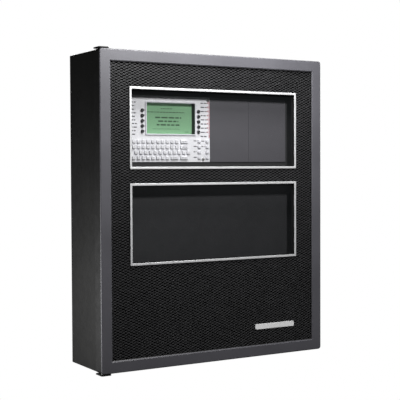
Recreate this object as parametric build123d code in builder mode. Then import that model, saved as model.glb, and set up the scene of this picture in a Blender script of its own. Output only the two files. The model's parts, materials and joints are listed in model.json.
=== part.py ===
"""Fire alarm control panel: a wall cabinet with a hinged, windowed door.

Frame: origin on the back face of the cabinet, at the centre of the four wall bolts.
+X right, +Y into the wall, +Z up.  The door is on the -Y side.
All lengths are in millimetres.
"""
import os

from build123d import *

os.makedirs("parts", exist_ok=True)

# ---- driving dimensions -------------------------------------------------------------
box_width = 609.6
box_height = 723.9
box_depth = 132.5
sheet = 1.5
lip_width = 12.0
bolt_spacing_x = 406.4
bolt_spacing_z = 635.0
bolt_hole_r = 4.0

door_width = 612.8
door_height = 727.1
door_depth = 31.0
door_gap = 2.5
door_front = box_depth + door_gap + door_depth
door_back = box_depth + door_gap
border = 28.0
corner_r = 7.0

tier_pitch = 219.1
upper_z = 188.3
lower_z = upper_z - tier_pitch
window_width = 463.0
window_height = 187.0
trim_face = 5.5

module_width = 111.125
module_top = 265.0
module_bottom = 111.5
module_height = module_top - module_bottom
module_z = (module_top + module_bottom) / 2
module_front = 130.0
panel_width = 524.0

pin_r = 3.0
pin_x = -298.4
pin_depth = 152.0
running_gap = 0.05
lock_depth = 112.0
fit_gap = 0.3


# ---- helpers --------------------------------------------------------------------------
def facing(distance):
    """Plane parallel to the wall, this far in front of it; extruding moves away from the wall."""
    return Plane.XZ.offset(distance)


def finish(builder, name):
    """Label a finished piece and write its file."""
    builder.part.label = name
    export_step(builder.part, f"parts/{name}.step")


# ---- cabinet --------------------------------------------------------------------------
knockout_r = 11.1
groove_width = 0.6
groove_depth = 0.8

with BuildPart() as backbox:
    with BuildSketch(facing(0)):
        Rectangle(box_width, box_height)
    extrude(amount=box_depth)
    fillet(backbox.edges().filter_by(Axis.Y), radius=2.5)
    offset(amount=-sheet, openings=backbox.faces().sort_by(Axis.Y)[0])
    with BuildSketch(facing(box_depth - sheet)):
        RectangleRounded(box_width, box_height, 2.5)
        Rectangle(box_width - 2 * lip_width, box_height - 2 * lip_width, mode=Mode.SUBTRACT)
    extrude(amount=sheet)
    with BuildSketch(facing(0)):
        with GridLocations(bolt_spacing_x, bolt_spacing_z, 2, 2):
            Circle(bolt_hole_r)
    extrude(amount=sheet, mode=Mode.SUBTRACT)
    # Half-sheared conduit knockouts: a shallow ring groove in the top and bottom walls.
    for wall in (Plane.XY.offset(box_height / 2), Plane.XY.offset(-box_height / 2)):
        side = -1 if wall.origin.Z > 0 else 1
        with BuildSketch(wall):
            with Locations((0, -66)):
                with GridLocations(85, 60, 6, 1):
                    Circle(knockout_r)
                    Circle(knockout_r - groove_width, mode=Mode.SUBTRACT)
        extrude(amount=side * groove_depth, mode=Mode.SUBTRACT)
    # The same knockouts in the two side walls.
    for side in (-1, 1):
        with BuildSketch(Plane.YZ.offset(side * box_width / 2)):
            with Locations((-50, 180)):
                with GridLocations(60, 85, 1, 3):
                    Circle(knockout_r)
                    Circle(knockout_r - groove_width, mode=Mode.SUBTRACT)
        extrude(amount=-side * groove_depth, mode=Mode.SUBTRACT)
    # Hole for the lock barrel in the right wall.
    with BuildSketch(Plane.YZ.offset(box_width / 2)):
        with Locations((-lock_depth, 0)):
            Circle(9.6)
    extrude(amount=-sheet - 1, mode=Mode.SUBTRACT)
finish(backbox, "backbox")

# ---- hinge ears and pins --------------------------------------------------------------
ear_thickness = 3.0
ear_gap = 0.85
ear_width = 25.0
ear_bottom = door_height / 2 + ear_gap
ear_left = -door_width / 2
leg_left = -289.9
leg_right = -262.0
leg_front = box_depth + 2.0

with BuildPart() as hinge_brackets:
    for side in (1, -1):
        with BuildSketch(Plane.XY.offset(side * ear_bottom)):
            with BuildLine():
                Polyline(
                    (ear_left, -door_front + 1),
                    (ear_left + ear_width, -door_front + 1),
                    (ear_left + ear_width, -box_depth),
                    (leg_left, -box_depth),
                    (leg_left, -leg_front),
                    (ear_left, -leg_front),
                    close=True,
                )
            make_face()
            with Locations((pin_x, -pin_depth)):
                Circle(pin_r + 0.02, mode=Mode.SUBTRACT)
        extrude(amount=side * ear_thickness)
        with BuildSketch(facing(box_depth)):
            with BuildLine():
                Polyline(
                    (leg_left, side * (ear_bottom + ear_thickness)),
                    (ear_left + ear_width, side * (ear_bottom + ear_thickness)),
                    (ear_left + ear_width, side * 360),
                    (leg_right, side * 357),
                    (leg_right, side * 351),
                    (leg_left, side * 351),
                    close=True,
                )
            make_face()
        extrude(amount=leg_front - box_depth)
    fillet(hinge_brackets.edges().filter_by(Axis.Z).group_by(Axis.Y)[0], radius=4)
finish(hinge_brackets, "hinge_brackets")

pin_length = 22.0
with BuildPart() as hinge_pins:
    for side in (1, -1):
        with BuildSketch(Plane.XY.offset(side * (ear_bottom + ear_thickness))):
            with Locations((pin_x, -pin_depth)):
                Circle(pin_r)
        extrude(amount=-side * pin_length)
finish(hinge_pins, "hinge_pins")

# Bored blocks welded to the inside of the door's left skirt; the pins turn in them.
block_length = 14.0
block_left = -door_width / 2 + sheet
block_width = 13.0
with BuildPart() as hinge_blocks:
    for side in (1, -1):
        with BuildSketch(Plane.XY.offset(side * (door_height / 2 - corner_r))):
            with Locations((block_left + block_width / 2, -pin_depth)):
                Rectangle(block_width, 12)
            with Locations((pin_x, -pin_depth)):
                Circle(pin_r + running_gap, mode=Mode.SUBTRACT)
        extrude(amount=-side * block_length)
finish(hinge_blocks, "hinge_blocks")

# ---- door -----------------------------------------------------------------------------
opening_width = door_width - 2 * border
opening_height = door_height - 2 * border
mesh_front = door_front - 5.0
mesh_thickness = 1.4
skin_front = mesh_front - mesh_thickness
skin_back = skin_front - sheet
insert_width = opening_width + 18.0
insert_height = opening_height + 18.0
ring_wall = 4.0
cutout_width = window_width - 5.4
cutout_height = window_height - 5.4

with BuildPart() as door_frame:
    with BuildSketch(facing(door_back)):
        RectangleRounded(door_width, door_height, corner_r)
    extrude(amount=door_depth)
    fillet(door_frame.faces().sort_by(Axis.Y)[0].edges(), radius=2.5)
    offset(amount=-sheet, openings=door_frame.faces().sort_by(Axis.Y)[-1])
    with BuildSketch(facing(mesh_front)):
        Rectangle(opening_width + 2 * ring_wall, opening_height + 2 * ring_wall)
    extrude(amount=door_front - mesh_front)
    with BuildSketch(facing(mesh_front)):
        Rectangle(opening_width, opening_height)
    extrude(amount=door_front - mesh_front, mode=Mode.SUBTRACT)
    inner_edges = door_frame.faces().sort_by(Axis.Y)[0].inner_wires()[0].edges()
    chamfer(inner_edges, length=3.0)
    # Holes for the hinge pins through the top and bottom skirts.
    for side in (1, -1):
        with BuildSketch(Plane.XY.offset(side * door_height / 2)):
            with Locations((pin_x, -pin_depth)):
                Circle(pin_r + running_gap)
        extrude(amount=-side * (sheet + 0.5), mode=Mode.SUBTRACT)
finish(door_frame, "door_frame")

window_centres = [(0, upper_z), (0, lower_z)]

with BuildPart() as mesh_panel:
    with BuildSketch(facing(skin_front)):
        Rectangle(insert_width, insert_height)
        with Locations(*window_centres):
            Rectangle(cutout_width, cutout_height, mode=Mode.SUBTRACT)
    extrude(amount=mesh_thickness)
finish(mesh_panel, "mesh_panel")

retainer_stud_x = 248.0
stud_r = 2.0
nut_r = 3.9

with BuildPart() as door_skin:
    with BuildSketch(facing(skin_back)):
        Rectangle(insert_width, insert_height)
        with Locations(*window_centres):
            Rectangle(cutout_width, cutout_height, mode=Mode.SUBTRACT)
    extrude(amount=sheet)
    with BuildSketch(facing(skin_back - 12)):
        Rectangle(insert_width, insert_height)
        Rectangle(insert_width - 2 * sheet, insert_height - 2 * sheet, mode=Mode.SUBTRACT)
    extrude(amount=12)
    # Welded studs that hold the pane retainers.
    with BuildSketch(facing(skin_back)):
        with Locations(*window_centres):
            with GridLocations(2 * retainer_stud_x, 70, 2, 3):
                Circle(stud_r)
    extrude(amount=-9)
finish(door_skin, "door_skin")

pane_thickness = 3.0
pane_front = skin_back - 1.1
trim_front = mesh_front + 2.4
trim_inner_width = window_width - 2 * trim_face
trim_inner_height = window_height - 2 * trim_face

with BuildPart() as window_trims:
    with BuildSketch(facing(pane_front)):
        with Locations(*window_centres):
            Rectangle(cutout_width - 0.4, cutout_height - 0.4)
            Rectangle(trim_inner_width, trim_inner_height, mode=Mode.SUBTRACT)
    extrude(amount=mesh_front - pane_front)
    with BuildSketch(facing(mesh_front)):
        with Locations(*window_centres):
            RectangleRounded(window_width, window_height, 2)
            Rectangle(trim_inner_width, trim_inner_height, mode=Mode.SUBTRACT)
    extrude(amount=trim_front - mesh_front)
    fillet(window_trims.faces().group_by(Axis.Y)[0].edges(), radius=1.0)
finish(window_trims, "window_trims")

pane_width = window_width + 17
pane_height = window_height + 17
with BuildPart() as window_panes:
    with BuildSketch(facing(pane_front - pane_thickness)):
        with Locations(*window_centres):
            RectangleRounded(pane_width, pane_height, 3)
    extrude(amount=pane_thickness)
finish(window_panes, "window_panes")

retainer_back = pane_front - pane_thickness - sheet
retainer_outer_x = pane_width + 7
retainer_outer_z = pane_height + 7
with BuildPart() as pane_retainers:
    with BuildSketch(facing(retainer_back)):
        with Locations(*window_centres):
            Rectangle(retainer_outer_x, retainer_outer_z)
            Rectangle(window_width - 13, window_height - 13, mode=Mode.SUBTRACT)
    extrude(amount=sheet)
    with BuildSketch(facing(retainer_back + sheet)):
        with Locations(*window_centres):
            Rectangle(retainer_outer_x, retainer_outer_z)
            Rectangle(retainer_outer_x - 2 * sheet, retainer_outer_z - 2 * sheet, mode=Mode.SUBTRACT)
    extrude(amount=skin_back - retainer_back - sheet)
    with BuildSketch(facing(skin_back - sheet)):
        with Locations(*window_centres):
            Rectangle(retainer_outer_x + 22, retainer_outer_z)
            Rectangle(retainer_outer_x - 2, retainer_outer_z, mode=Mode.SUBTRACT)
            with GridLocations(2 * retainer_stud_x, 70, 2, 3):
                Circle(stud_r + 0.2, mode=Mode.SUBTRACT)
    extrude(amount=sheet)
finish(pane_retainers, "pane_retainers")

with BuildPart() as retainer_nuts:
    with BuildSketch(facing(skin_back - sheet)):
        with Locations(*window_centres):
            with GridLocations(2 * retainer_stud_x, 70, 2, 3):
                RegularPolygon(nut_r, 6)
                Circle(stud_r + 0.02, mode=Mode.SUBTRACT)
    extrude(amount=-3.2)
finish(retainer_nuts, "retainer_nuts")

plate_centre = (167, -292)
with BuildPart() as nameplate:
    with BuildSketch(facing(mesh_front)):
        with Locations(plate_centre):
            RectangleRounded(116, 13, 4)
    extrude(amount=1.2)
    fillet(nameplate.faces().sort_by(Axis.Y)[0].edges(), radius=0.5)
finish(nameplate, "nameplate")

# ---- lock -----------------------------------------------------------------------------
barrel_r = 9.5
plug_r = 6.0
cam_x = 279.8
cam_thickness = 2.2
barrel_inner = cam_x + cam_thickness + 1.0

with BuildPart() as lock_barrel:
    with BuildSketch(Plane.YZ.offset(barrel_inner)):
        with Locations((-lock_depth, 0)):
            Circle(barrel_r)
            Circle(plug_r + running_gap, mode=Mode.SUBTRACT)
    extrude(amount=box_width / 2 - barrel_inner)
    with BuildSketch(Plane.YZ.offset(box_width / 2)):
        with Locations((-lock_depth, 0)):
            Circle(11.5)
            Circle(plug_r + running_gap, mode=Mode.SUBTRACT)
    extrude(amount=1.4)
    fillet(lock_barrel.faces().sort_by(Axis.X)[-1].outer_wire().edges(), radius=0.8)
finish(lock_barrel, "lock_barrel")

with BuildPart() as lock_nut:
    with BuildSketch(Plane.YZ.offset(box_width / 2 - sheet - 4)):
        with Locations((-lock_depth, 0)):
            RegularPolygon(13.5, 6)
            Circle(barrel_r + 0.02, mode=Mode.SUBTRACT)
    extrude(amount=4)
finish(lock_nut, "lock_nut")

plug_face = box_width / 2 + 1.2
tail_r = 3.5
with BuildPart() as lock_plug:
    with BuildSketch(Plane.YZ.offset(cam_x + cam_thickness)):
        with Locations((-lock_depth, 0)):
            Circle(plug_r)
    extrude(amount=plug_face - cam_x - cam_thickness)
    with BuildSketch(Plane.YZ.offset(cam_x - 1.5)):
        with Locations((-lock_depth, 0)):
            Circle(tail_r)
    extrude(amount=cam_thickness + 1.5)
    # Keyway, cut into the outer end.
    with BuildSketch(Plane.YZ.offset(plug_face)):
        with Locations((-lock_depth, 0)):
            Rectangle(2.0, 8.0)
    extrude(amount=-12, mode=Mode.SUBTRACT)
finish(lock_plug, "lock_plug")

cam_reach = 30.0
with BuildPart() as lock_cam:
    with BuildSketch(Plane.YZ.offset(cam_x)):
        with Locations((-lock_depth, 0)):
            Circle(8)
            with Locations((-cam_reach / 2, 0)):
                Rectangle(cam_reach, 12)
            Circle(tail_r + 0.02, mode=Mode.SUBTRACT)
    extrude(amount=cam_thickness)
finish(lock_cam, "lock_cam")

strike_right = insert_width / 2 - sheet
strike_depth = 102.5
with BuildPart() as strike_bracket:
    with BuildSketch(facing(skin_back - 2)):
        with Locations((strike_right - 12, -47)):
            Rectangle(24, 26)
    extrude(amount=2)
    with BuildSketch(Plane.XY.offset(-36)):
        with Locations((strike_right - 5, -(skin_back + strike_depth) / 2)):
            Rectangle(10, skin_back - strike_depth)
    extrude(amount=2)
    with BuildSketch(facing(strike_depth)):
        with Locations((strike_right - 5, -25)):
            Rectangle(10, 22)
    extrude(amount=2)
finish(strike_bracket, "strike_bracket")

# ---- chassis --------------------------------------------------------------------------
tray_back = 20.0
tray_front = 126.5
tray_width = 482.6
tray_height = 200.0
tray_lip = 10.0
tray_lift = -9.0
standoff_x = 200.0
standoff_z = 75.0
tray_upper_z = upper_z + tray_lift
tray_lower_z = lower_z + tray_lift


def make_tray(centre_z):
    """Bent sheet tray: back plate, top and bottom flanges, and lips that carry the front panels."""
    with BuildPart() as tray:
        with BuildSketch(facing(tray_back)):
            with Locations((0, centre_z)):
                Rectangle(tray_width, tray_height)
                with GridLocations(2 * standoff_x, 2 * standoff_z, 2, 2):
                    Circle(2.52, mode=Mode.SUBTRACT)
        extrude(amount=sheet)
        for side in (1, -1):
            with BuildSketch(facing(tray_back)):
                with Locations((0, centre_z + side * (tray_height - sheet) / 2)):
                    Rectangle(tray_width, sheet)
            extrude(amount=tray_front - tray_back)
            with BuildSketch(facing(tray_front - sheet)):
                with Locations((0, centre_z + side * (tray_height / 2 + tray_lip / 2 - sheet))):
                    Rectangle(tray_width, tray_lip)
            extrude(amount=sheet)
    return tray


chassis_upper = make_tray(tray_upper_z)
finish(chassis_upper, "chassis_upper")
chassis_lower = make_tray(tray_lower_z)
finish(chassis_lower, "chassis_lower")

with BuildPart() as chassis_standoffs:
    for centre_z in (tray_upper_z, tray_lower_z):
        with BuildSketch(facing(sheet)):
            with Locations((0, centre_z)):
                with GridLocations(2 * standoff_x, 2 * standoff_z, 2, 2):
                    RegularPolygon(5.5, 6)
        extrude(amount=tray_back - sheet)
        with BuildSketch(facing(tray_back)):
            with Locations((0, centre_z)):
                with GridLocations(2 * standoff_x, 2 * standoff_z, 2, 2):
                    Circle(2.5)
        extrude(amount=8)
finish(chassis_standoffs, "chassis_standoffs")

# ---- dress panels and blank plates ----------------------------------------------------
panel_front = tray_front + sheet
panel_top = 342.0
panel_split = 69.75
panel_bottom = -150.0
module_edge = 3.0
screw_x = 232.0
screw_r = 2.0
lip_middle = tray_height / 2 + 4.0

upper_height = panel_top - panel_split - 0.5
lower_height = panel_split - panel_bottom - 0.5
dress_screws = [
    (side_x * screw_x, tray_z + side_z * lip_middle)
    for tray_z in (tray_upper_z, tray_lower_z)
    for side_x in (-1, 1)
    for side_z in (-1, 1)
]

with BuildPart() as dress_panel_upper:
    with BuildSketch(facing(tray_front)):
        with Locations((0, panel_top - upper_height / 2)):
            Rectangle(panel_width, upper_height)
        with Locations((0, module_z)):
            opening_x = 4 * module_width - 2 * module_edge
            Rectangle(opening_x, module_height - 2 * module_edge, mode=Mode.SUBTRACT)
        with Locations(*dress_screws):
            Circle(screw_r + 0.2, mode=Mode.SUBTRACT)
    extrude(amount=sheet)
finish(dress_panel_upper, "dress_panel_upper")

with BuildPart() as dress_panel_lower:
    with BuildSketch(facing(tray_front)):
        with Locations((0, panel_bottom + lower_height / 2)):
            Rectangle(panel_width, lower_height)
        with Locations(*dress_screws):
            Circle(screw_r + 0.2, mode=Mode.SUBTRACT)
    extrude(amount=sheet)
finish(dress_panel_lower, "dress_panel_lower")

plate_thickness = module_front - panel_front
plate_gap = 0.5
blank_centres = [(module_width * (n + 0.5), module_z) for n in (0, 1)]
with BuildPart() as blank_plates:
    with BuildSketch(facing(panel_front)):
        with Locations(*blank_centres):
            RectangleRounded(module_width - plate_gap, module_height, 1)
    extrude(amount=plate_thickness)
finish(blank_plates, "blank_plates")

# ---- display: faceplate, board, LCD -----------------------------------------------------
face_left = -2 * module_width
face_centre_x = face_left / 2
lcd_left = -175.0
lcd_right = -38.5
lcd_bottom = 174.0
lcd_top = 252.5
lcd_x = (lcd_left + lcd_right) / 2
lcd_z = (lcd_bottom + lcd_top) / 2
bezel_width = lcd_right - lcd_left
bezel_height = lcd_top - lcd_bottom
bezel_front = module_front + 2.0
bezel_back = 120.0
bezel_lip = 2.0

soft_key_r = 4.0
soft_key_columns = {"left": -182.4, "right": -31.4}
soft_key_rows = [206.7 + 12.1 * n for n in (2, 1, 0, -1, -2)]
function_key_columns = {"left": -30.0, "right": -7.6}
function_key_rows = [160.4 - 12.95 * n for n in range(4)]
function_key_size = (8.0, 6.4)
lamp_x = -6.5
lamp_rows = [252.0 - 9.9 * n for n in range(8)]
lamp_r = 1.5

key_pitch = 12.6
key_size = (8.6, 7.2)
key_hole_gap = 0.4
key_left = -205.0
key_rows = [159.0, 146.3, 133.6, 120.9]
wide_key = (20.0, 7.2)
letter_keys = (
    [(key_left + key_pitch * n, key_rows[0]) for n in range(10)]
    + [(key_left + key_pitch * n, key_rows[1]) for n in range(10)]
    + [(key_left + key_pitch * (n + 0.5), key_rows[2]) for n in range(12)]
    + [(key_left + key_pitch * n, key_rows[3]) for n in range(8)]
)
wide_keys = [(-71.5, key_rows[0]), (-71.5, key_rows[1]), (-97.5, key_rows[3]), (-71.5, key_rows[3])]
corner_screws = [(-215.5, 258.5), (-5.5, 258.5), (-215.5, 117.8), (-18.7, 117.8)]

with BuildPart() as display_faceplate:
    with BuildSketch(facing(panel_front)):
        with Locations((face_centre_x, module_z)):
            RectangleRounded(2 * module_width - plate_gap, module_height, 1)
        with Locations((lcd_x, lcd_z)):
            Rectangle(bezel_width - 2 * bezel_lip, bezel_height - 2 * bezel_lip, mode=Mode.SUBTRACT)
        for key_x in soft_key_columns.values():
            with Locations(*[(key_x, key_z) for key_z in soft_key_rows]):
                Circle(soft_key_r + fit_gap, mode=Mode.SUBTRACT)
        for key_x in function_key_columns.values():
            with Locations(*[(key_x, key_z) for key_z in function_key_rows]):
                Rectangle(
                    function_key_size[0] + 2 * fit_gap,
                    function_key_size[1] + 2 * fit_gap,
                    mode=Mode.SUBTRACT,
                )
        with Locations(*[(lamp_x, lamp_z) for lamp_z in lamp_rows]):
            Circle(lamp_r + 0.1, mode=Mode.SUBTRACT)
        with Locations(*letter_keys):
            Rectangle(key_size[0] + key_hole_gap, key_size[1] + key_hole_gap, mode=Mode.SUBTRACT)
        with Locations(*wide_keys):
            Rectangle(wide_key[0] + key_hole_gap, wide_key[1] + key_hole_gap, mode=Mode.SUBTRACT)
        with Locations(*corner_screws):
            Circle(screw_r + 0.1, mode=Mode.SUBTRACT)
    extrude(amount=plate_thickness)
finish(display_faceplate, "display_faceplate")

board_thickness = 1.6
board_front = 114.6
with BuildPart() as display_circuit_board:
    with BuildSketch(facing(board_front - board_thickness)):
        with Locations((face_centre_x, module_z)):
            Rectangle(2 * module_width - 10, module_height - 10)
        with Locations(*corner_screws):
            Circle(3.4, mode=Mode.SUBTRACT)
    extrude(amount=board_thickness)
finish(display_circuit_board, "display_circuit_board")

view_left = -171.0
view_right = -44.5
view_bottom = 177.5
view_top = 248.5
view_centre = ((view_left + view_right) / 2, (view_bottom + view_top) / 2)
mouth_margin_x = 3.5
mouth_margin_z = 2.8
with BuildPart() as lcd_bezel:
    with BuildSketch(facing(bezel_back)):
        with Locations((lcd_x, lcd_z)):
            Rectangle(bezel_width - 2 * bezel_lip - 0.4, bezel_height - 2 * bezel_lip - 0.4)
    extrude(amount=module_front - bezel_back)
    with BuildSketch(facing(module_front)):
        with Locations((lcd_x, lcd_z)):
            RectangleRounded(bezel_width, bezel_height, 2)
    extrude(amount=bezel_front - module_front)
    fillet(lcd_bezel.faces().sort_by(Axis.Y)[0].edges(), radius=0.8)
    # Sloped mouth that narrows from the front lip to the view area.
    with BuildSketch(facing(bezel_back)):
        with Locations(view_centre):
            Rectangle(view_right - view_left, view_top - view_bottom)
    with BuildSketch(facing(bezel_front + 0.01)):
        with Locations((lcd_x, lcd_z)):
            Rectangle(bezel_width - 2 * mouth_margin_x, bezel_height - 2 * mouth_margin_z)
    loft(mode=Mode.SUBTRACT)
finish(lcd_bezel, "lcd_bezel")

with BuildPart() as lcd_panel:
    with BuildSketch(facing(board_front)):
        with Locations(view_centre):
            Rectangle(view_right - view_left + 8, view_top - view_bottom + 6)
    extrude(amount=bezel_back - board_front)
finish(lcd_panel, "lcd_panel")

with BuildPart() as indicator_lamps:
    with BuildSketch(facing(board_front)):
        with Locations(*[(lamp_x, lamp_z) for lamp_z in lamp_rows]):
            Circle(lamp_r)
    extrude(amount=module_front + 1.2 - board_front)
    fillet(indicator_lamps.faces().group_by(Axis.Y)[0].edges(), radius=1.2)
finish(indicator_lamps, "indicator_lamps")

mat_back = 125.5
mat_front = 127.2
key_front = module_front + 3.0
with BuildPart() as key_mat:
    with BuildSketch(facing(mat_back)):
        with Locations((-131.5, 138.9)):
            Rectangle(161, 48)
    extrude(amount=mat_front - mat_back)
    with BuildSketch(facing(mat_front)):
        with Locations(*letter_keys):
            RectangleRounded(*key_size, 1.2)
        with Locations(*wide_keys):
            RectangleRounded(*wide_key, 1.2)
    extrude(amount=key_front - mat_front)
    fillet(key_mat.faces().group_by(Axis.Y)[0].edges(), radius=0.6)
finish(key_mat, "key_mat")

flange_front = panel_front - fit_gap
flange_back = flange_front - 1.2
stem_back = board_front + 2.4


def make_soft_key(key_x, key_z):
    """Round key: cap through the faceplate, flange behind it and a stem over its contact."""
    with BuildPart() as key:
        with BuildSketch(facing(stem_back)):
            with Locations((key_x, key_z)):
                Circle(2.0)
        extrude(amount=flange_back - stem_back)
        with BuildSketch(facing(flange_back)):
            with Locations((key_x, key_z)):
                Circle(soft_key_r + 1.4)
        extrude(amount=flange_front - flange_back)
        with BuildSketch(facing(flange_front)):
            with Locations((key_x, key_z)):
                Circle(soft_key_r)
        extrude(amount=key_front - flange_front)
        fillet(key.faces().sort_by(Axis.Y)[0].edges(), radius=1.0)
    return key


def make_function_key(key_x, key_z):
    """Oblong key, built like the round ones."""
    with BuildPart() as key:
        with BuildSketch(facing(stem_back)):
            with Locations((key_x, key_z)):
                Circle(2.0)
        extrude(amount=flange_back - stem_back)
        with BuildSketch(facing(flange_back)):
            with Locations((key_x, key_z)):
                Rectangle(function_key_size[0] + 2.4, function_key_size[1] + 2.4)
        extrude(amount=flange_front - flange_back)
        with BuildSketch(facing(flange_front)):
            with Locations((key_x, key_z)):
                RectangleRounded(*function_key_size, 1.2)
        extrude(amount=key_front - flange_front)
        fillet(key.faces().sort_by(Axis.Y)[0].edges(), radius=0.7)
    return key


for side, key_x in soft_key_columns.items():
    for row, key_z in enumerate(soft_key_rows, start=1):
        finish(make_soft_key(key_x, key_z), f"soft_key_{side}_{row}")

for side, key_x in function_key_columns.items():
    for row, key_z in enumerate(function_key_rows, start=1):
        finish(make_function_key(key_x, key_z), f"function_key_{side}_{row}")

with BuildPart() as sounder:
    with BuildSketch(facing(board_front - board_thickness)):
        with Locations((-60, 140)):
            Circle(12)
    extrude(amount=-9)
    with BuildSketch(facing(board_front - board_thickness - 9)):
        with Locations((-60, 140)):
            Circle(2)
    extrude(amount=3, mode=Mode.SUBTRACT)
    fillet(sounder.faces().sort_by(Axis.Y)[-1].outer_wire().edges(), radius=1)
finish(sounder, "sounder")

# ---- screws ------------------------------------------------------------------------------
head_height = 1.6
head_r = 3.6
rim_depths = [round(panel_front + head_height, 2), round(module_front + head_height, 2)]
with BuildPart() as panel_screws:
    for points, head_plane, tip_plane in (
        (dress_screws, panel_front, tray_front),
        (corner_screws, module_front, panel_front),
    ):
        with BuildSketch(facing(tip_plane)):
            with Locations(*points):
                Circle(screw_r - 0.1)
        extrude(amount=head_plane - tip_plane)
        with BuildSketch(facing(head_plane)):
            with Locations(*points):
                Circle(head_r)
        extrude(amount=head_height)
        # Cross recess in each head.
        with BuildSketch(facing(head_plane + head_height)):
            with Locations(*points):
                Rectangle(3.4, 0.8)
                Rectangle(0.8, 3.4)
        extrude(amount=-1.0, mode=Mode.SUBTRACT)
    rims = panel_screws.edges().filter_by(GeomType.CIRCLE).filter_by(lambda edge: edge.radius > 3)
    outer_rims = [rim for rim in rims if round(-rim.center().Y, 2) in rim_depths]
    fillet(outer_rims, radius=0.7)
finish(panel_screws, "panel_screws")

# ---- circuit boards inside -----------------------------------------------------------------
card_back = 60.0
card_front = card_back + board_thickness
card_width = 188.0
card_height = 150.0
card_x = -117.0
card_mount = (172.0, 134.0)
supply_back = 30.0
supply_front = supply_back + board_thickness
supply_width = 172.0
supply_height = 120.0
supply_centre = (196, -230)
supply_mount = (160.0, 108.0)


def make_card(centre, size, mount, back):
    """Plain rigid board with a mounting hole near each corner."""
    with BuildPart() as card:
        with BuildSketch(facing(back)):
            with Locations(centre):
                Rectangle(*size)
                with GridLocations(*mount, 2, 2):
                    Circle(1.6, mode=Mode.SUBTRACT)
        extrude(amount=board_thickness)
    return card


card_size = (card_width, card_height)
main_circuit_board = make_card((card_x, tray_upper_z), card_size, card_mount, card_back)
finish(main_circuit_board, "main_circuit_board")
loop_card = make_card((card_x, tray_lower_z), card_size, card_mount, card_back)
finish(loop_card, "loop_card")
supply_size = (supply_width, supply_height)
power_supply_board = make_card(supply_centre, supply_size, supply_mount, supply_back)
finish(power_supply_board, "power_supply_board")

with BuildPart() as spacers:
    for centre, mount, base, top in (
        ((card_x, tray_upper_z), card_mount, tray_back + sheet, card_back),
        ((card_x, tray_lower_z), card_mount, tray_back + sheet, card_back),
        (supply_centre, supply_mount, sheet, supply_back),
    ):
        with BuildSketch(facing(base)):
            with Locations(centre):
                with GridLocations(*mount, 2, 2):
                    RegularPolygon(3.6, 6)
        extrude(amount=top - base)
    with BuildSketch(facing(tray_back + sheet)):
        with Locations(*corner_screws):
            RegularPolygon(3.0, 6)
    extrude(amount=panel_front - tray_back - sheet)
    with BuildSketch(facing(tray_back + sheet)):
        with Locations(*blank_centres):
            with GridLocations(module_width - 14, module_height - 14, 2, 2):
                RegularPolygon(3.0, 6)
    extrude(amount=panel_front - tray_back - sheet)
finish(spacers, "spacers")

with BuildPart() as terminal_blocks:
    for centre_x, base_z, base in (
        (card_x, tray_upper_z - card_height / 2 + 10, card_front),
        (card_x, tray_lower_z - card_height / 2 + 10, card_front),
        (supply_centre[0], supply_centre[1] - supply_height / 2 + 12, supply_front),
        (supply_centre[0], supply_centre[1] + supply_height / 2 - 10, supply_front),
    ):
        with BuildSketch(facing(base)):
            with Locations((centre_x, base_z)):
                with GridLocations(46, 10, 3, 1):
                    Rectangle(40, 9)
        extrude(amount=13)
        # Wire entries, one row of screw pockets on each block.
        with BuildSketch(facing(base + 13)):
            with Locations((centre_x, base_z)):
                with GridLocations(46, 10, 3, 1):
                    with GridLocations(5, 1, 7, 1):
                        Circle(1.7)
        extrude(amount=-4, mode=Mode.SUBTRACT)
finish(terminal_blocks, "terminal_blocks")

with BuildPart() as board_components:
    for centre_z in (tray_upper_z, tray_lower_z):
        # Relays in a row, then the larger chips and a socket for the ribbon.
        with BuildSketch(facing(card_front)):
            with Locations((card_x, centre_z - 40)):
                with GridLocations(30, 10, 5, 1):
                    Rectangle(20, 12)
        extrude(amount=15)
        with BuildSketch(facing(card_front)):
            with Locations((card_x - 30, centre_z + 12)):
                with GridLocations(42, 36, 3, 2):
                    Rectangle(22, 22)
        extrude(amount=2.6)
        with BuildSketch(facing(card_front)):
            with Locations((card_x + 70, centre_z + 20)):
                Rectangle(36, 9)
        extrude(amount=8)
    # Reservoir capacitors on the supply board.
    with BuildSketch(facing(supply_front)):
        with Locations((supply_centre[0] - 40, supply_centre[1] + 12)):
            with GridLocations(26, 24, 3, 2):
                Circle(9)
    extrude(amount=30)
finish(board_components, "board_components")

fin_pitch = 7.0
with BuildPart() as heat_sink:
    with BuildSketch(facing(supply_front)):
        with Locations((supply_centre[0] + 52, supply_centre[1] + 6)):
            Rectangle(44, 60)
    extrude(amount=5)
    with BuildSketch(facing(supply_front + 5)):
        with Locations((supply_centre[0] + 52, supply_centre[1] + 6)):
            with GridLocations(fin_pitch, 60, 7, 1):
                Rectangle(2, 60)
    extrude(amount=25)
finish(heat_sink, "heat_sink")

floor_z = -box_height / 2 + sheet
with BuildPart() as transformer:
    with BuildSketch(Plane.XY.offset(floor_z)):
        with Locations((150, -66)):
            Rectangle(96, 66)
    extrude(amount=2)
    with BuildSketch(Plane.XY.offset(floor_z + 2)):
        with Locations((150, -66)):
            Rectangle(76, 40)
    extrude(amount=54)
    with BuildSketch(Plane.XY.offset(floor_z + 12)):
        with Locations((150, -66)):
            RectangleRounded(50, 62, 8)
    extrude(amount=34)
finish(transformer, "transformer")

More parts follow.
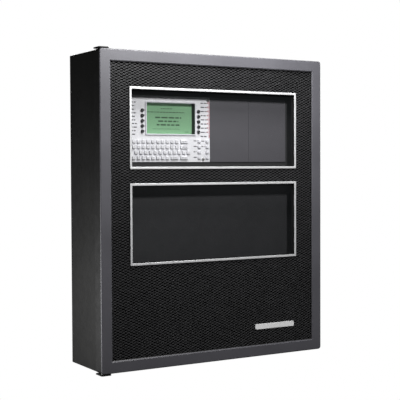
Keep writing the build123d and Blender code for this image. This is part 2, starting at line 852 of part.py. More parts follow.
battery_size = (181.0, 77.0, 167.0)
battery_y = -64.0
battery_centres = [-198.0, -10.0]
post_spread = 150.0
post_height = 7.0
battery_top = floor_z + battery_size[2]
with BuildPart() as batteries:
    with BuildSketch(Plane.XY.offset(floor_z)):
        with Locations(*[(x, battery_y) for x in battery_centres]):
            RectangleRounded(battery_size[0], battery_size[1], 3)
    extrude(amount=battery_size[2])
    fillet(batteries.faces().group_by(Axis.Z)[-1].edges(), radius=2)
    with BuildSketch(Plane.XY.offset(battery_top)):
        with Locations(*[(x, battery_y) for x in battery_centres]):
            with GridLocations(post_spread, 10, 2, 1):
                Rectangle(12, 9)
    extrude(amount=post_height)
finish(batteries, "batteries")

# ---- wiring ----------------------------------------------------------------------------------
wire_r = 1.6
post_top = battery_top + post_height
jumper_start = battery_centres[0] + post_spread / 2
jumper_end = battery_centres[1] - post_spread / 2
supply_entry_z = supply_centre[1] + supply_height / 2 - 10
supply_entry_depth = supply_front + 13
long_lead_x = supply_centre[0] - 51
short_lead_x = supply_centre[0] - 61
wire_routes = [
    [
        (jumper_start, battery_y, post_top),
        (jumper_start, battery_y, post_top + 22),
        (jumper_end, battery_y, post_top + 22),
        (jumper_end, battery_y, post_top),
    ],
    [
        (battery_centres[0] - post_spread / 2, battery_y, post_top),
        (battery_centres[0] - post_spread / 2, battery_y, post_top + 36),
        (80, battery_y - 24, post_top + 36),
        (long_lead_x, -supply_entry_depth - 34, supply_entry_z),
        (long_lead_x, -supply_entry_depth, supply_entry_z),
    ],
    [
        (battery_centres[1] + post_spread / 2, battery_y, post_top),
        (battery_centres[1] + post_spread / 2, battery_y, post_top + 20),
        (short_lead_x, -supply_entry_depth - 22, supply_entry_z - 2),
        (short_lead_x, -supply_entry_depth, supply_entry_z - 2),
    ],
]
wire_radii = [[9.0, 9.0], [15.0, 15.0, 15.0], [9.0, 9.0]]

with BuildPart() as battery_leads:
    for route, radii in zip(wire_routes, wire_radii):
        with BuildLine() as path:
            FilletPolyline(*route, radius=radii)
        with BuildSketch(Plane(path.line @ 0, z_dir=path.line % 0)):
            Circle(wire_r)
        sweep(path=path.line)
finish(battery_leads, "battery_leads")

ribbon_right = card_x + 70 + 16
ribbon_width = 32.0
socket_z = tray_upper_z + 20
with BuildPart() as ribbon_cable:
    with BuildSketch(Plane.YZ.offset(ribbon_right - ribbon_width)):
        with BuildLine():
            FilletPolyline(
                (-card_front - 8, socket_z),
                (-card_front - 20, socket_z),
                (-card_front - 32, socket_z + 24),
                (-board_front + board_thickness, socket_z + 24),
                radius=5,
            )
        trace(line_width=1.0)
    extrude(amount=ribbon_width)
finish(ribbon_cable, "ribbon_cable")
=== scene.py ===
"""Looks of the fire alarm control panel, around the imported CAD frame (metres, +Z up, front at -Y)."""
import json
import math
import random

import bmesh
import bpy
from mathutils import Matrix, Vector

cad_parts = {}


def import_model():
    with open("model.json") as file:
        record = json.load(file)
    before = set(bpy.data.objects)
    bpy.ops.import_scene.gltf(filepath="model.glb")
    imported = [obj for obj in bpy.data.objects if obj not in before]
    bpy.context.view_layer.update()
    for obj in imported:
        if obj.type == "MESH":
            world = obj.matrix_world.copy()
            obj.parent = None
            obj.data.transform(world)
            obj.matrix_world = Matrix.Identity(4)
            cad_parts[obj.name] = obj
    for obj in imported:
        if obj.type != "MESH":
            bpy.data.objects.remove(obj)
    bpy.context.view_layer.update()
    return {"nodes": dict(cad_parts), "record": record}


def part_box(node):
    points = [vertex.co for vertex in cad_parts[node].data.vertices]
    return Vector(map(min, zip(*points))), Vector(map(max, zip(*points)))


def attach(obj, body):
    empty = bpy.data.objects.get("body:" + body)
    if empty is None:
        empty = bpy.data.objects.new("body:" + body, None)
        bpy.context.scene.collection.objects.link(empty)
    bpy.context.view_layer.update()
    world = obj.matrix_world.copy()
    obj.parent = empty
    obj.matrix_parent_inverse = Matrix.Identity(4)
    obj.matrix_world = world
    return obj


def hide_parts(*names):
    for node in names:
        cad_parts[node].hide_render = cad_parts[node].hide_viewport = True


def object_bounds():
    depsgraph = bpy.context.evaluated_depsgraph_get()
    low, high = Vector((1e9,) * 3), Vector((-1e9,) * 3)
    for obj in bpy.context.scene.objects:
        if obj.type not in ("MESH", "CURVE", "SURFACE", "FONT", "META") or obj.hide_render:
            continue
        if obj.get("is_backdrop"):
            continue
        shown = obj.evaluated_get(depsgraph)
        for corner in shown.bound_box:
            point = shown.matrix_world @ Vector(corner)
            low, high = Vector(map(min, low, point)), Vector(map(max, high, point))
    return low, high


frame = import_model()
random.seed(7)

MM = 0.001


# ---- node helpers -----------------------------------------------------------------------
class Shader:
    """A Principled material with short calls for the nodes that feed it."""

    def __init__(self, name):
        self.material = bpy.data.materials.new(name)
        self.material.use_nodes = True
        self.tree = self.material.node_tree
        self.surface = self.tree.nodes["Principled BSDF"]
        self.coords = self.tree.nodes.new("ShaderNodeTexCoord").outputs["Object"]

    def node(self, kind, inputs=None, **settings):
        made = self.tree.nodes.new("ShaderNode" + kind)
        for key, value in settings.items():
            setattr(made, key, value)
        for key, value in (inputs or {}).items():
            if isinstance(value, bpy.types.NodeSocket):
                self.tree.links.new(value, made.inputs[key])
            else:
                made.inputs[key].default_value = value
        return made

    def set(self, **values):
        """Sets or links the shader's own inputs; Base_Color stands for Base Color."""
        for key, value in values.items():
            socket = self.surface.inputs[key.replace("_", " ")]
            if isinstance(value, bpy.types.NodeSocket):
                self.tree.links.new(value, socket)
            else:
                socket.default_value = value

    def stretched(self, scale):
        return self.node("Mapping", {"Vector": self.coords, "Scale": scale}).outputs[0]

    def noise(self, scale, detail=3.0, rough=0.5, vector=None):
        inputs = {"Vector": vector or self.coords, "Scale": scale}
        inputs.update({"Detail": detail, "Roughness": rough})
        return self.node("TexNoise", inputs).outputs[0]

    def cells(self, scale, feature="F1", output="Distance", vector=None):
        inputs = {"Vector": vector or self.coords, "Scale": scale}
        return self.node("TexVoronoi", inputs, feature=feature).outputs[output]

    def math(self, operation, a, b=0.0, clamp=False):
        return self.node("Math", {0: a, 1: b}, operation=operation, use_clamp=clamp).outputs[0]

    def ramp(self, value, low, high, to_low=0.0, to_high=1.0):
        inputs = {"Value": value, "From Min": low, "From Max": high}
        inputs.update({"To Min": to_low, "To Max": to_high})
        return self.node("MapRange", inputs).outputs[0]

    def mix(self, factor, a, b):
        made = self.node("Mix", data_type="RGBA")
        for index, value in ((0, factor), (6, a), (7, b)):
            if isinstance(value, bpy.types.NodeSocket):
                self.tree.links.new(value, made.inputs[index])
            else:
                made.inputs[index].default_value = value
        return made.outputs[2]

    def axis(self, name):
        return self.node("SeparateXYZ", {"Vector": self.coords}).outputs[name]

    def wave(self, axis, frequency):
        """The absolute sine of frequency times the place along an axis."""
        turned = self.math("MULTIPLY", self.axis(axis), frequency)
        return self.math("ABSOLUTE", self.math("SINE", turned))

    def bump(self, height, distance, strength):
        inputs = {"Height": height, "Distance": distance, "Strength": strength}
        return self.node("Bump", inputs).outputs[0]


def rgb(r, g, b):
    return (r, g, b, 1.0)


def scaled(colour, k):
    return rgb(*(min(1.0, channel * k) for channel in colour[:3]))


# ---- materials --------------------------------------------------------------------------
def powder_coat(name, colour, rough=0.5, grain=1400.0, speckle=0.12, specular=0.5, skirt=None):
    """Baked paint with orange peel and speckle; skirt is (y, colour) of all that lies behind y."""
    s = Shader(name)
    peel = s.noise(grain, 2.0, 0.6)
    drift = s.noise(7.0, 3.0)
    dust = s.noise(60.0, 6.0, 0.7)
    tone = s.mix(s.ramp(drift, 0.3, 0.7), scaled(colour, 1 - speckle), scaled(colour, 1 + speckle))
    grainy = s.mix(s.ramp(peel, 0.55, 0.75, 0.0, 0.35), tone, scaled(colour, 1.7))
    if skirt is not None:
        behind = s.math("GREATER_THAN", s.axis("Y"), skirt[0])
        grainy = s.mix(behind, grainy, skirt[1])
    s.set(Base_Color=grainy, Roughness=s.ramp(dust, 0.3, 0.7, rough - 0.05, rough + 0.07))
    s.set(Normal=s.bump(peel, 0.05 * MM, 0.6), Specular_IOR_Level=specular)
    return s.material


def plated_steel(name, colour, rough=0.32, stretch=(40, 40, 900)):
    """Drawn or rolled metal with fine lines along its length."""
    s = Shader(name)
    lines = s.noise(1.0, 4.0, 0.6, s.stretched(stretch))
    stain = s.noise(35.0, 4.0, 0.6)
    s.set(Base_Color=s.mix(s.ramp(stain, 0.3, 0.7), scaled(colour, 0.82), colour), Metallic=1.0)
    s.set(Roughness=s.ramp(lines, 0.3, 0.7, rough - 0.08, rough + 0.12))
    s.set(Normal=s.bump(lines, 0.04 * MM, 0.5))
    return s.material


def galvanised(name):
    """Zinc-coated sheet with its spangle."""
    s = Shader(name)
    spangle = s.cells(90.0, output="Color")
    value = s.node("RGBToBW", {"Color": spangle}).outputs[0]
    s.set(Base_Color=s.mix(value, rgb(0.42, 0.43, 0.44), rgb(0.62, 0.63, 0.64)), Metallic=0.9)
    s.set(Roughness=s.ramp(value, 0.0, 1.0, 0.32, 0.5), Normal=s.bump(s.noise(500.0), 0.04 * MM, 0.4))
    return s.material


def moulded(name, colour, rough, grain=1800.0, depth=0.04 * MM, variation=0.08):
    """Moulded plastic or rubber with a fine spark-eroded grain."""
    s = Shader(name)
    grain_cells = s.cells(grain)
    cloud = s.noise(45.0, 4.0, 0.6)
    dim, bright = scaled(colour, 1 - variation), scaled(colour, 1 + variation)
    s.set(Base_Color=s.mix(s.ramp(cloud, 0.3, 0.7), dim, bright))
    s.set(Roughness=s.ramp(cloud, 0.3, 0.7, rough - 0.05, rough + 0.06))
    s.set(Normal=s.bump(grain_cells, depth, 0.5))
    return s.material


def bezel_plastic(name, colour, painted_shade):
    """Silver-grey bezel; its deep right-hand wall gets a painted shade colour in place of the shadow
    that wall lies in.
    """
    s = Shader(name)
    low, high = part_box("lcd_bezel")
    lip = 0.8 * MM
    wall = 12.0 * MM
    # Painted shade: this mask marks the deep right-hand wall of the recess, which is coloured dark for
    # the shadow it lies in.
    deep = s.math("GREATER_THAN", s.axis("Y"), low[1] + lip)
    right = s.math("GREATER_THAN", s.axis("X"), high[0] - wall)
    cloud = s.ramp(s.noise(60.0, 4.0, 0.6), 0.3, 0.7)
    face = s.mix(cloud, scaled(colour, 0.96), scaled(colour, 1.04))
    s.set(Base_Color=s.mix(s.math("MULTIPLY", deep, right), face, painted_shade))
    s.set(Roughness=s.ramp(cloud, 0.0, 1.0, 0.36, 0.44), Normal=s.bump(s.cells(1800.0), 0.03 * MM, 0.4))
    return s.material


def printed_board(name):
    """Solder mask over copper traces, with rows of plated pads."""
    s = Shader(name)
    upright = (math.radians(90), 0, 0)
    flat = s.node("Mapping", {"Vector": s.coords, "Rotation": upright}).outputs[0]
    bricks = s.node("TexBrick", {"Vector": flat, "Scale": 70.0, "Mortar Size": 0.04, "Bias": 0.2})
    traces = s.ramp(bricks.outputs["Fac"], 0.4, 0.6)
    pads = s.ramp(s.cells(330.0, vector=flat), 0.16, 0.2, 1.0, 0.0)
    rows = s.ramp(s.noise(18.0, 1.0), 0.52, 0.56)
    pad_mask = s.math("MULTIPLY", pads, rows)
    mask = s.mix(traces, rgb(0.012, 0.11, 0.045), rgb(0.03, 0.2, 0.085))
    s.set(Base_Color=s.mix(pad_mask, mask, rgb(0.62, 0.6, 0.52)))
    s.set(Metallic=s.math("MULTIPLY", pad_mask, 0.8), Roughness=0.33)
    s.set(Normal=s.bump(s.math("ADD", traces, pad_mask), 0.06 * MM, 0.6))
    return s.material


def laminated_iron(name):
    """Transformer: varnished laminations and a taped winding."""
    s = Shader(name)
    inputs = {"Vector": s.coords, "Scale": 160.0, "Distortion": 0.4}
    line = s.node("TexWave", inputs, bands_direction="Y").outputs["Fac"]
    s.set(Base_Color=s.mix(line, rgb(0.05, 0.045, 0.04), rgb(0.16, 0.14, 0.12)), Metallic=0.5)
    s.set(Roughness=0.45, Normal=s.bump(line, 0.2 * MM, 0.7))
    return s.material


def satin_trim(name, colour, wall):
    """Brushed silver face of the window trim; its inner walls are coloured near-black as painted shade.
    """
    s = Shader(name)
    lines = s.noise(1.0, 4.0, 0.6, s.stretched((30, 600, 600)))
    rim = 0.7 * MM
    # Painted shade: every wall behind the rim takes the dark wall colour for the shadow those walls lie
    # in.
    behind = s.math("GREATER_THAN", s.axis("Y"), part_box("window_trims")[0][1] + rim)
    tone = s.mix(s.ramp(lines, 0.3, 0.7), scaled(colour, 0.9), colour)
    s.set(Base_Color=s.mix(behind, tone, wall), Metallic=0.3)
    s.set(Roughness=s.ramp(lines, 0.3, 0.7, 0.38, 0.5), Normal=s.bump(lines, 0.04 * MM, 0.5))
    return s.material


def clear_pane(name):
    """Clear acrylic that dims what is behind it a little, with faint dust."""
    s = Shader(name)
    dust = s.ramp(s.noise(300.0, 6.0, 0.7), 0.6, 0.8, 0.0, 0.03)
    tint = 0.09
    s.set(Base_Color=rgb(0.03, 0.033, 0.035), Alpha=s.math("ADD", dust, tint))
    s.set(Roughness=s.ramp(s.noise(12.0), 0.3, 0.7, 0.03, 0.08))
    return s.material


def liquid_crystal(name, colour, dark):
    """Backlit green cell with its fine dot grid and a slightly uneven backlight."""
    s = Shader(name)
    dot_frequency = 5400.0  # a dot every 0.58 mm
    dots_x = s.wave("X", dot_frequency)
    dots_z = s.wave("Z", dot_frequency)
    grid = s.ramp(s.math("MINIMUM", dots_x, dots_z), 0.0, 0.25, 0.1, 0.0)
    glow = s.ramp(s.noise(14.0, 1.0), 0.3, 0.7, 0.0, 0.16)
    tone = s.mix(s.math("ADD", grid, glow), colour, dark)
    s.set(Base_Color=tone, Emission_Color=tone, Emission_Strength=0.12)
    s.set(Roughness=s.ramp(s.noise(200.0), 0.3, 0.7, 0.18, 0.24))
    return s.material


def lens(name, colour):
    """Tinted lamp lens with a dim core."""
    s = Shader(name)
    swirl = s.noise(900.0, 2.0)
    s.set(Base_Color=s.mix(s.ramp(swirl, 0.3, 0.7), scaled(colour, 0.75), colour))
    s.set(Roughness=s.ramp(swirl, 0.3, 0.7, 0.1, 0.16), Coat_Weight=0.4)
    s.set(Emission_Color=colour, Emission_Strength=0.1)
    return s.material


def ink(name, colour):
    """Screen-printed mark, very slightly mottled."""
    s = Shader(name)
    mottle = s.ramp(s.noise(1500.0, 3.0), 0.3, 0.7)
    s.set(Base_Color=s.mix(mottle, scaled(colour, 0.85), scaled(colour, 1.1)))
    s.set(Roughness=s.ramp(s.noise(400.0), 0.3, 0.7, 0.42, 0.52))
    s.set(Normal=s.bump(mottle, 0.01 * MM, 0.4))
    return s.material


def wire_jackets(name):
    """Lead jackets: red on the lead to the far battery post, black on the other two."""
    s = Shader(name)
    # The red lead is the only one above, in front of, or beyond these four planes.
    above = s.math("GREATER_THAN", s.axis("Z"), -162.0 * MM)
    in_front = s.math("LESS_THAN", s.axis("Y"), -70.0 * MM)
    far_right = s.math("GREATER_THAN", s.axis("X"), 140.0 * MM)
    far_left = s.math("LESS_THAN", s.axis("X"), -200.0 * MM)
    red = s.math("MAXIMUM", above, in_front)
    red = s.math("MAXIMUM", red, s.math("MAXIMUM", far_right, far_left))
    scuff = s.ramp(s.noise(160.0, 5.0), 0.4, 0.7, 0.0, 0.25)
    jacket = s.mix(red, rgb(0.02, 0.02, 0.02), rgb(0.5, 0.025, 0.02))
    s.set(Base_Color=s.mix(scuff, jacket, rgb(0.12, 0.11, 0.11)), Roughness=0.4)
    s.set(Normal=s.bump(s.noise(900.0), 0.05 * MM, 0.4))
    return s.material


def ribbon(name):
    """Flat cable: ridges of its conductors, with one coloured edge."""
    s = Shader(name)
    pitch = 1.27 * MM
    ridges = s.wave("X", math.pi / pitch)
    edge_width = 1.3 * MM
    edge = s.math("LESS_THAN", s.axis("X"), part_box("ribbon_cable")[0][0] + edge_width)
    grey = s.mix(ridges, rgb(0.25, 0.25, 0.26), rgb(0.52, 0.52, 0.54))
    s.set(Base_Color=s.mix(edge, grey, rgb(0.5, 0.04, 0.03)), Roughness=0.42)
    s.set(Normal=s.bump(ridges, 0.3 * MM, 0.8))
    return s.material


BORDER_DEPTH = 2.4 * MM
DOOR_SKIRT = (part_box("door_frame")[0][1] + BORDER_DEPTH, rgb(0.011, 0.011, 0.011))
looks = {
    "cabinet_black": powder_coat("cabinet_black", rgb(0.0125, 0.0125, 0.0122), 0.5, specular=0.3),
    "door_grey": powder_coat("door_grey", rgb(0.095, 0.0935, 0.106), 0.46, skirt=DOOR_SKIRT),
    "mesh_black": powder_coat("mesh_black", rgb(0.042, 0.042, 0.044), 0.42, 2200.0),
    "dress_black": powder_coat("dress_black", rgb(0.022, 0.022, 0.023), 0.55),
    "dress_grey": powder_coat("dress_grey", rgb(0.021, 0.021, 0.023), 0.55),
    "plate_grey": powder_coat("plate_grey", rgb(0.078, 0.0755, 0.085), 0.55, speckle=0.06),
    "bright_steel": plated_steel("bright_steel", rgb(0.62, 0.62, 0.6)),
    "zinc_steel": galvanised("zinc_steel"),
    "board_green": printed_board("board_green"),
    "component_black": moulded("component_black", rgb(0.02, 0.02, 0.022), 0.4),
    "terminal_green": moulded("terminal_green", rgb(0.03, 0.27, 0.09), 0.42),
    "transformer_iron": laminated_iron("transformer_iron"),
    "heat_sink_aluminium": plated_steel("heat_sink_aluminium", rgb(0.07, 0.07, 0.075), 0.45),
    "battery_case": moulded("battery_case", rgb(0.04, 0.04, 0.043), 0.5, 900.0, 0.08 * MM),
    "wire_jacket": wire_jackets("wire_jacket"),
    "ribbon_grey": ribbon("ribbon_grey"),
    "display_white": moulded("display_white", rgb(0.82, 0.82, 0.85), 0.5, variation=0.03),
    # The bezel's near-black colour is painted shade for the deep right-hand wall of the LCD recess.
    "bezel_silver": bezel_plastic("bezel_silver", rgb(0.74, 0.74, 0.79), rgb(0.01, 0.01, 0.01)),
    "lcd_green": liquid_crystal("lcd_green", rgb(0.215, 0.4, 0.235), rgb(0.15, 0.3, 0.17)),
    "lamp_red": lens("lamp_red", rgb(0.42, 0.04, 0.045)),
    "key_rubber": moulded("key_rubber", rgb(0.78, 0.78, 0.81), 0.62, variation=0.04),
    "soft_key_black": moulded("soft_key_black", rgb(0.018, 0.018, 0.02), 0.5),
    "function_key_grey": moulded("function_key_grey", rgb(0.76, 0.76, 0.8), 0.6, variation=0.04),
    "lock_chrome": plated_steel("lock_chrome", rgb(0.72, 0.72, 0.72), 0.16, (60, 900, 900)),
    "lock_brass": plated_steel("lock_brass", rgb(0.66, 0.52, 0.28), 0.3, (60, 900, 900)),
    # The trim's near-black colour is painted shade for its inner walls.
    "trim_silver": satin_trim("trim_silver", rgb(0.74, 0.74, 0.75), rgb(0.03, 0.03, 0.03)),
    "pane_clear": clear_pane("pane_clear"),
    "nameplate_white": moulded("nameplate_white", rgb(0.93, 0.93, 0.93), 0.35, variation=0.02),
}
INK_GREY = ink("ink_grey", rgb(0.07, 0.07, 0.08))
INK_KEY = ink("ink_key", rgb(0.3, 0.3, 0.33))
INK_DARK = ink("ink_dark", rgb(0.05, 0.05, 0.06))
INK_RED = ink("ink_red", rgb(0.42, 0.09, 0.12))
LCD_DARK = ink("lcd_dark", rgb(0.035, 0.085, 0.045))

# Partly painted shade: the door skin behind the mesh is black paint, here made darker and duller than
# paint so the mesh holes read as shade.
SKIN_BLACK_AND_SHADE = powder_coat("skin_black_and_shade", rgb(0.002, 0.002, 0.002), 0.8, specular=0.05)
looks_of_node = {"door_skin": SKIN_BLACK_AND_SHADE}
slot_of = {row["node"]: row["material_slot"] for row in frame["record"]["subparts"]}
for node_name, node_object in frame["nodes"].items():
    node_object.data.materials.clear()
    node_object.data.materials.append(looks_of_node.get(node_name, looks[slot_of[node_name]]))


# ---- mesh helpers ------------------------------------------------------------------------
def add_object(name, data):
    made = bpy.data.objects.new(name, data)
    bpy.context.collection.objects.link(made)
    return made


def make_piece(name, vertices, faces, material, body):
    mesh = bpy.data.meshes.new(name)
    mesh.from_pydata(vertices, [], faces)
    mesh.update()
    mesh.materials.append(material)
    piece = add_object(name, mesh)
    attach(piece, body)
    return piece


class Marks:
    """Thin printed marks on a face that looks towards -Y, gathered into one mesh."""

    def __init__(self, front, thickness=0.06 * MM):
        self.front = front
        self.back = front + thickness
        self.vertices = []
        self.faces = []

    def outline(self, points):
        """A closed plate from its outline, given counter-clockwise as seen from the front."""
        start = len(self.vertices)
        count = len(points)
        self.vertices += [(x, self.front, z) for x, z in points]
        self.vertices += [(x, self.back, z) for x, z in points]
        self.faces.append(tuple(start + i for i in range(count)))
        self.faces.append(tuple(start + count + i for i in reversed(range(count))))
        for i in range(count):
            j = (i + 1) % count
            self.faces.append((start + j, start + i, start + count + i, start + count + j))

    def bar(self, x, z, width, height):
        a = width / 2
        b = height / 2
        self.outline([(x - a, z - b), (x + a, z - b), (x + a, z + b), (x - a, z + b)])

    def words(self, x, z, width, height):
        """A row of short bars in place of a line of text, starting at x."""
        at = x
        shortest = 0.6 * MM
        gap = 0.8 * height
        while at < x + width - shortest:
            length = min(random.uniform(2.0, 5.0) * height, x + width - at)
            self.bar(at + length / 2, z, length, height)
            at += length + gap

    def build(self, name, material):
        make_piece(name, self.vertices, self.faces, material, "cabinet")


# ---- diamond mesh ------------------------------------------------------------------------
def diamond_mesh():
    """Expanded metal in the door's recess: zigzag strands that meet at bonds, one above another."""
    low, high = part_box("mesh_panel")
    trim_low, trim_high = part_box("window_trims")
    pitch_x = 13.54 * MM  # from one opening to the next along a row
    row = 6.385 * MM / 2  # from one strand to the next above it
    strand = 1.5 * MM
    bonded = 0.95  # how much of its width a strand shares at a bond
    swing = (row - strand * bonded) / 2
    bond_x = 0.47 * MM
    bond_z = 1.99 * MM - row / 2
    front = low[1]
    back = high[1]
    hidden = 6.0 * MM  # margin under the door frame
    cover = 2.6 * MM  # margin under a window trim
    left = low[0] + hidden
    right = high[0] - hidden
    window = (trim_low[0] + cover, trim_high[0] - cover)
    trim_height = 187.0 * MM  # of one trim, from outer edge to outer edge
    gaps = [
        (trim_low[2] + cover, trim_low[2] + trim_height - cover),
        (trim_high[2] - trim_height + cover, trim_high[2] - cover),
    ]
    bond = 0.13  # half a bond's length, as a share of pitch_x
    turns = (bond, 0.5 - bond, 0.5 + bond, 1.0 - bond)
    section = ((-0.5, back), (-0.3, front), (0.3, front), (0.5, back))  # height in strands, y

    def height(x, phase):
        """Where a strand runs at x, from -1 at a lower bond to 1 at an upper one."""
        t = ((x - bond_x) / pitch_x + phase) % 1.0
        if t <= bond or t >= 1 - bond:
            return 1.0
        if 0.5 - bond <= t <= 0.5 + bond:
            return -1.0
        slope = (t - bond) if t < 0.5 else (1 - bond - t)
        return 1.0 - 2.0 * slope / (0.5 - 2 * bond)

    vertices = []
    faces = []

    def strand_run(x0, x1, z, phase):
        points = {x0, x1}
        first = math.floor((x0 - bond_x) / pitch_x) - 2
        last = math.ceil((x1 - bond_x) / pitch_x) + 2
        for cell in range(first, last):
            for turn in turns:
                x = bond_x + (cell + turn - phase) * pitch_x
                if x0 < x < x1:
                    points.add(x)
        start = len(vertices)
        ordered = sorted(points)
        for x in ordered:
            centre = z + swing * height(x, phase)
            vertices.extend((x, y, centre + offset * strand) for offset, y in section)
        sides = len(section)
        for i in range(len(ordered) - 1):
            a = start + i * sides
            for k in range(sides):
                m = (k + 1) % sides
                faces.append((a + k, a + m, a + sides + m, a + sides + k))
        end = start + (len(ordered) - 1) * sides
        faces.append(tuple(start + k for k in reversed(range(sides))))
        faces.append(tuple(end + k for k in range(sides)))

    lowest = math.ceil((low[2] + hidden - bond_z) / row)
    highest = math.floor((high[2] - hidden - bond_z) / row)
    for k in range(lowest, highest + 1):
        z = bond_z + k * row
        phase = 0.0 if k % 2 == 0 else 0.5
        crossing = [gap for gap in gaps if gap[0] - swing < z < gap[1] + swing]
        if crossing:
            strand_run(left, window[0], z, phase)
            strand_run(window[1], right, z, phase)
        else:
            strand_run(left, right, z, phase)
    piece = make_piece("diamond_mesh", vertices, faces, looks["mesh_black"], "door")
    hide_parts("mesh_panel")


# ---- display marks -----------------------------------------------------------------------
INK_RISE = 0.05 * MM


def display_marks():
    """Labels, arrows and lamp legends printed on the white faceplate."""
    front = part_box("display_faceplate")[0][1] - INK_RISE
    grey = Marks(front)
    dark = Marks(front)
    red = Marks(front)
    # An arrowhead between each round key and the LCD, pointing at the LCD.
    for row in range(1, 6):
        for side, away in (("left", -1), ("right", 1)):
            low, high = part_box(f"soft_key_{side}_{row}")
            key_edge = high[0] if away < 0 else low[0]
            z = (low[2] + high[2]) / 2
            reach = 1.5 * MM
            clear_of_key = 0.7 * MM
            base = key_edge - away * clear_of_key
            points = [(base, z + reach), (base, z - reach), (base - away * reach, z)]
            dark.outline(points if away < 0 else points[::-1])
    # Lines of small print left of the round keys and between the keys and the lamps.
    print_height = 2.6 * MM
    left_labels = -213.0 * MM
    right_labels = -25.5 * MM
    red_column = -2.0 * MM
    for line in range(10):
        z = (249.0 - 8.2 * line) * MM
        grey.words(left_labels, z, random.uniform(12.0, 17.0) * MM, print_height)
    for line in range(9):
        z = (252.0 - 9.9 * line) * MM
        grey.words(right_labels, z - 0.6 * MM, 16.5 * MM, print_height)
        red.bar(red_column, z, 2.2 * MM, 9.0 * MM)
    # Captions beside the function keys.
    for row in range(1, 5):
        low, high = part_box(f"function_key_left_{row}")
        z = (low[2] + high[2]) / 2
        dark.words(low[0] - 10.0 * MM, z + 1.0 * MM, 8.6 * MM, 2.2 * MM)
        if row < 3:
            dark.words(high[0] + 0.8 * MM, z + 0.6 * MM, 9.5 * MM, 1.9 * MM)
    grey.build("label_print", INK_GREY)
    dark.build("arrow_print", INK_DARK)
    red.build("lamp_print", INK_RED)


def lcd_marks():
    """What the liquid crystal shows: bars in place of text, a title block and a status line."""
    marks = Marks(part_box("lcd_panel")[0][1] - INK_RISE, 0.045 * MM)
    # Each row's left end, height above the frame's origin, length and bar height, in mm.
    heading = [(-128.0, 236.5, 30.0, 1.6), (-164.0, 228.0, 100.0, 1.8)]
    middle = -108.0
    title = [
        (middle - length / 2, 215.5 - 8.5 * line, length, 3.4)
        for line, length in enumerate((70.0, 54.0, 62.0))
    ]
    status = [(-150.0, 189.0, 72.0, 0.9), (-62.0, 182.5, 10.0, 1.4)]
    for x, z, length, bar_height in heading + title + status:
        marks.words(x * MM, z * MM, length * MM, bar_height * MM)
    marks.build("lcd_image", LCD_DARK)


def letter_mesh(text, x, z, front, size):
    """One plain character that faces -Y."""
    curve = bpy.data.curves.new("letter", "FONT")
    curve.body = text
    curve.size = size
    curve.align_x = "CENTER"
    curve.align_y = "CENTER"
    curve.resolution_u = 2
    curve.extrude = 0.04 * MM
    piece = add_object("letter", curve)
    piece.rotation_euler = (math.radians(90), 0, 0)
    piece.location = (x, front, z)
    bpy.context.view_layer.update()
    mesh = bpy.data.meshes.new_from_object(piece)
    mesh.transform(piece.matrix_world)
    bpy.data.objects.remove(piece)
    return mesh


def key_legends():
    """Letters and figures on the key mat, as on any keyboard, joined into one piece."""
    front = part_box("key_mat")[0][1] - 0.01 * MM
    pitch = 12.6 * MM
    first = -205.0 * MM
    size = 3.6 * MM
    # Height of each row in mm, its shift in keys, and its characters.
    rows = [
        (159.0, 0.0, "1234567890"),
        (146.3, 0.0, "QWERTYUIOP"),
        (133.6, 0.5, "ASDFGHJKL;:-"),
        (120.9, 0.0, "ZXCVBNM,"),
    ]
    joined = bmesh.new()
    for z, shift, letters in rows:
        for column, letter in enumerate(letters):
            x = first + (column + shift) * pitch
            mesh = letter_mesh(letter, x, z * MM, front, size)
            joined.from_mesh(mesh)
            bpy.data.meshes.remove(mesh)
    mesh = bpy.data.meshes.new("key_legends")
    joined.to_mesh(mesh)
    joined.free()
    mesh.materials.append(INK_KEY)
    piece = add_object("key_legends", mesh)
    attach(piece, "cabinet")
    wide = Marks(front - 0.03 * MM)
    length = 14.0
    for x, z in ((-71.5, 159.0), (-71.5, 146.3), (-97.5, 120.9), (-71.5, 120.9)):
        wide.words((x - length / 2) * MM, z * MM, length * MM, 1.6 * MM)
    wide.build("wide_key_print", INK_KEY)


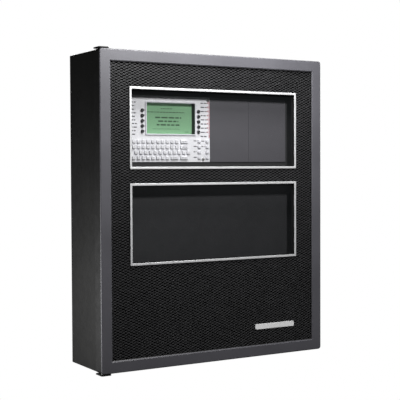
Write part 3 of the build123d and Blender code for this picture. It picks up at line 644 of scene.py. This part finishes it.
# ---- stage, light and camera ----------------------------------------------------------------
def stage():
    """Pale floor: white to the camera, and darker paint to the light that falls on it."""
    size = 14.0
    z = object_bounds()[0][2] - 2.0 * MM
    mesh = bpy.data.meshes.new("floor")
    corners = [(-size, -size, z), (size, -size, z), (size, size, z), (-size, size, z)]
    mesh.from_pydata(corners, [], [(0, 1, 2, 3)])
    floor = add_object("floor", mesh)
    material = bpy.data.materials.new("pale_floor")
    material.use_nodes = True
    tree = material.node_tree
    tree.nodes.clear()
    output = tree.nodes.new("ShaderNodeOutputMaterial")
    glow = tree.nodes.new("ShaderNodeEmission")
    glow.inputs["Color"].default_value = rgb(1, 1, 1)
    paint = tree.nodes.new("ShaderNodeBsdfDiffuse")
    paint.inputs["Color"].default_value = rgb(0.08, 0.08, 0.08)
    path = tree.nodes.new("ShaderNodeLightPath")
    mix = tree.nodes.new("ShaderNodeMixShader")
    tree.links.new(path.outputs["Is Camera Ray"], mix.inputs[0])
    tree.links.new(paint.outputs[0], mix.inputs[1])
    tree.links.new(glow.outputs[0], mix.inputs[2])
    tree.links.new(mix.outputs[0], output.inputs[0])
    mesh.materials.append(material)
    floor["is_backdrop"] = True


def world():
    """White to the camera, with a faint fill of light on the object."""
    made = bpy.data.worlds.new("studio")
    bpy.context.scene.world = made
    made.use_nodes = True
    tree = made.node_tree
    background = tree.nodes["Background"]
    path = tree.nodes.new("ShaderNodeLightPath")
    strength = tree.nodes.new("ShaderNodeMapRange")
    strength.inputs["To Min"].default_value = AMBIENT
    strength.inputs["To Max"].default_value = 1.0
    tree.links.new(path.outputs["Is Camera Ray"], strength.inputs["Value"])
    tree.links.new(strength.outputs[0], background.inputs["Strength"])
    background.inputs["Color"].default_value = rgb(1, 1, 1)


def area_light(name, location, target, size, power):
    """A rectangular lamp that points at target; size is its width and height, power is in watts."""
    light = bpy.data.lights.new(name, "AREA")
    light.shape = "RECTANGLE"
    light.size = size[0]
    light.size_y = size[1]
    light.energy = power
    lamp = add_object(name, light)
    lamp.location = location
    lamp.rotation_euler = (Vector(target) - Vector(location)).to_track_quat("-Z", "Y").to_euler()
    return lamp


AMBIENT = 0.02
LAMPS = [
    ("key_light", (0.12, -1.0, 0.755), (0.0, -0.15, 0.15), (0.12, 0.12), 12.3),
    ("top_left_light", (-0.12, -0.42, 0.7), (-0.08, -0.17, 0.3), (0.3, 0.15), 3.5),
    ("grazing_light", (0.12, -0.3, 0.62), (0.12, -0.17, 0.3), (0.4, 0.06), 1.2),
    ("side_light", (-0.74, -0.03, -0.24), (-0.3, -0.05, -0.22), (0.18, 0.3), 3.9),
    ("back_light", (0.7, 1.7, 0.8), (0.0, 0.0, 0.0), (0.8, 0.8), 60.0),
    ("right_light", (1.9, 0.45, 0.5), (0.3, -0.07, 0.0), (0.6, 0.6), 22.0),
]


def lights():
    for lamp in LAMPS:
        area_light(*lamp).visible_camera = False


CAMERA_LENS = 90.376
CAMERA_PLACE = (-1.2590, -2.1883, 0.0995)
CAMERA_DEGREES = (88.115, 0.246, -30.888)


def camera():
    scene = bpy.context.scene
    data = bpy.data.cameras.new("camera")
    data.lens = CAMERA_LENS
    data.sensor_width = 36.0
    made = add_object("camera", data)
    made.location = CAMERA_PLACE
    made.rotation_euler = [math.radians(angle) for angle in CAMERA_DEGREES]
    scene.camera = made
    scene.view_settings.view_transform = "Standard"


camera()
diamond_mesh()
display_marks()
lcd_marks()
key_legends()
stage()
world()
lights()
